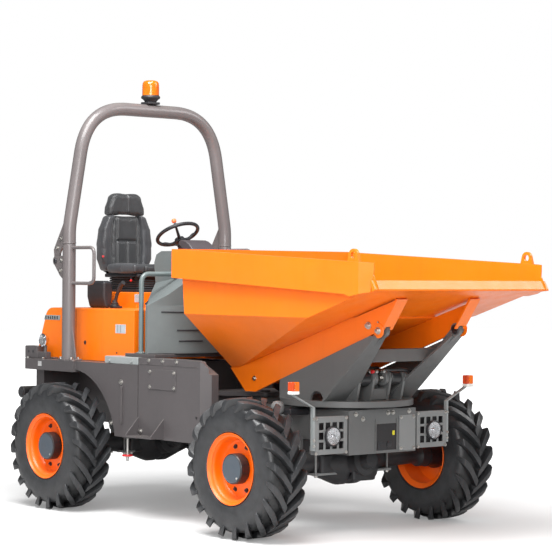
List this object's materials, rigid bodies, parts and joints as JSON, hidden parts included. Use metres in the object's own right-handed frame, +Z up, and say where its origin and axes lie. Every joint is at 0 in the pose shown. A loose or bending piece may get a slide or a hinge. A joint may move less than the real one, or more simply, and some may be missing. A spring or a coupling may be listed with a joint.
{
  "type": "articulated site dumper with a swivelling tip skip",
  "caption": "Articulated four-wheel site dumper with a swivelling, forward-tipping skip, a seat under a folding roll-over hoop and a hinged engine hood.",
  "frame": {"origin": "on the ground at the middle of the overall length and width", "axes": "+X forward to the skip's pouring lip, +Y to the machine's left, +Z up"},
  "size_m": [4.338, 2.178, 3.4393],
  "materials": {
    "orange_paint": "gloss orange machine paint, worn at edges",
    "wheel_paint": "gloss orange wheel paint",
    "frame_paint": "satin mid-grey frame paint",
    "rear_paint": "satin warm dark-grey chassis paint",
    "hoop_paint": "satin taupe-grey tube paint",
    "cowl_plastic": "grained light-grey moulding",
    "black_plastic": "grained black moulding",
    "tyre_rubber": "block-lug cross-country tyre rubber",
    "seat_vinyl": "black stitched seat vinyl",
    "cast_iron": "dark painted casting",
    "ram_steel": "polished ram rod",
    "ram_paint": "satin black ram barrel paint",
    "lamp_clear": "clear ribbed lamp lens over a bright bowl",
    "lens_amber": "amber lens"
  },
  "bodies": {
    "rear_chassis": {"rear_frame": "rear_paint", "rear_bumper": "black_plastic", "engine": "cast_iron", "rear_lamp_left": "rear_paint", "rear_lamp_right": "rear_paint", "rear_axle": "cast_iron", "side_tank_left": "rear_paint", "side_tank_right": "rear_paint", "floor_plate": "rear_paint", "seat_console_left": "orange_paint", "seat_console_right": "orange_paint", "cowl": "cowl_plastic", "dash_hood": "black_plastic", "steering_column": "black_plastic", "handrail_left": "hoop_paint", "handrail_right": "hoop_paint", "rops_post_left": "hoop_paint", "rops_post_right": "hoop_paint"},
    "hood": {"hood": "orange_paint", "seat_suspension": "black_plastic", "seat_cushion": "seat_vinyl", "seat_back": "seat_vinyl", "side_console": "black_plastic", "brake_lever": "black_plastic"},
    "rops_hoop": {"rops_hoop": "hoop_paint", "beacon": "lens_amber"},
    "steering_wheel": {"steering_wheel": "black_plastic"},
    "wheel_rear_left": {"rim_rear_left": "wheel_paint", "tyre_rear_left": "tyre_rubber"},
    "wheel_rear_right": {"rim_rear_right": "wheel_paint", "tyre_rear_right": "tyre_rubber"},
    "steering_barrel": {"steering_barrel": "ram_paint"},
    "steering_rod": {"steering_rod": "ram_steel"},
    "front_chassis": {"front_frame": "frame_paint", "front_axle": "cast_iron", "lamp_guard_left": "frame_paint", "lamp_guard_right": "frame_paint", "headlamp_left": "lamp_clear", "headlamp_right": "lamp_clear", "indicator_left": "lens_amber", "indicator_right": "lens_amber"},
    "wheel_front_left": {"rim_front_left": "wheel_paint", "tyre_front_left": "tyre_rubber"},
    "wheel_front_right": {"rim_front_right": "wheel_paint", "tyre_front_right": "tyre_rubber"},
    "swivel_frame": {"swivel_frame": "frame_paint"},
    "skip": {"skip_tub": "orange_paint", "skip_beams": "orange_paint"},
    "tip_barrels": {"tip_barrel_left": "ram_paint", "tip_barrel_right": "ram_paint"},
    "tip_rods": {"tip_rod_left": "ram_steel", "tip_rod_right": "ram_steel"}
  },
  "joints": [
    {"name": "articulation", "type": "hinge", "parent": "rear_chassis", "child": "front_chassis", "pos_m": [0.065, 0, 0.757], "axis": [0, 0, 1], "range_deg": [-33, 33]},
    {"name": "steer_ram_swing", "type": "hinge", "parent": "rear_chassis", "child": "steering_barrel", "pos_m": [-0.805, -0.42, 0.79], "axis": [0, 0, 1], "range_deg": [-1.3, 1.3]},
    {"name": "steer_ram_slide", "type": "slide", "parent": "steering_barrel", "child": "steering_rod", "axis": [1, 0, 0], "range_m": [-0.229, 0.229]},
    {"name": "skip_swivel", "type": "hinge", "parent": "front_chassis", "child": "swivel_frame", "pos_m": [0.981, 0, 0.915], "axis": [0, 0, 1], "range_deg": [-90, 90]},
    {"name": "skip_tip", "type": "hinge", "parent": "swivel_frame", "child": "skip", "pos_m": [1.743, 0, 1.472], "axis": [0, 1, 0], "range_deg": [0, 70]},
    {"name": "tip_ram_swing", "type": "hinge", "parent": "swivel_frame", "child": "tip_barrels", "pos_m": [1.302, 0, 1.115], "axis": [0, 1, 0], "range_deg": [0, 78]},
    {"name": "tip_ram_slide", "type": "slide", "parent": "tip_barrels", "child": "tip_rods", "axis": [-0.9999, 0, -0.0169], "range_m": [0, 0.64]},
    {"name": "rops_fold", "type": "hinge", "parent": "rear_chassis", "child": "rops_hoop", "pos_m": [-1.57, 0, 1.95], "axis": [0, -1, 0], "range_deg": [0, 95]},
    {"name": "hood_lift", "type": "hinge", "parent": "rear_chassis", "child": "hood", "pos_m": [-2.055, 0, 1.157], "axis": [0, -1, 0], "range_deg": [0, 40]},
    {"name": "steering_wheel_turn", "type": "hinge", "parent": "rear_chassis", "child": "steering_wheel", "pos_m": [-1.04, 0, 2.172], "axis": [-0.5, 0, 0.866], "continuous": true},
    {"name": "wheel_rear_left_spin", "type": "hinge", "parent": "rear_chassis", "child": "wheel_rear_left", "pos_m": [-1.335, 0.93, 0.495], "axis": [0, 1, 0], "continuous": true},
    {"name": "wheel_rear_right_spin", "type": "hinge", "parent": "rear_chassis", "child": "wheel_rear_right", "pos_m": [-1.335, -0.93, 0.495], "axis": [0, 1, 0], "continuous": true},
    {"name": "wheel_front_left_spin", "type": "hinge", "parent": "front_chassis", "child": "wheel_front_left", "pos_m": [0.955, 0.93, 0.495], "axis": [0, 1, 0], "continuous": true},
    {"name": "wheel_front_right_spin", "type": "hinge", "parent": "front_chassis", "child": "wheel_front_right", "pos_m": [0.955, -0.93, 0.495], "axis": [0, 1, 0], "continuous": true}
  ],
  "couplings": [
    {"joint": "steer_ram_swing", "follows": "articulation", "ratio": -0.038},
    {"joint": "steer_ram_slide", "follows": "articulation", "m_per_rad": 0.396},
    {"joint": "tip_ram_swing", "follows": "skip_tip", "ratio": 1.1024},
    {"joint": "tip_ram_slide", "follows": "skip_tip", "m_per_rad": 0.5193}
  ]
}
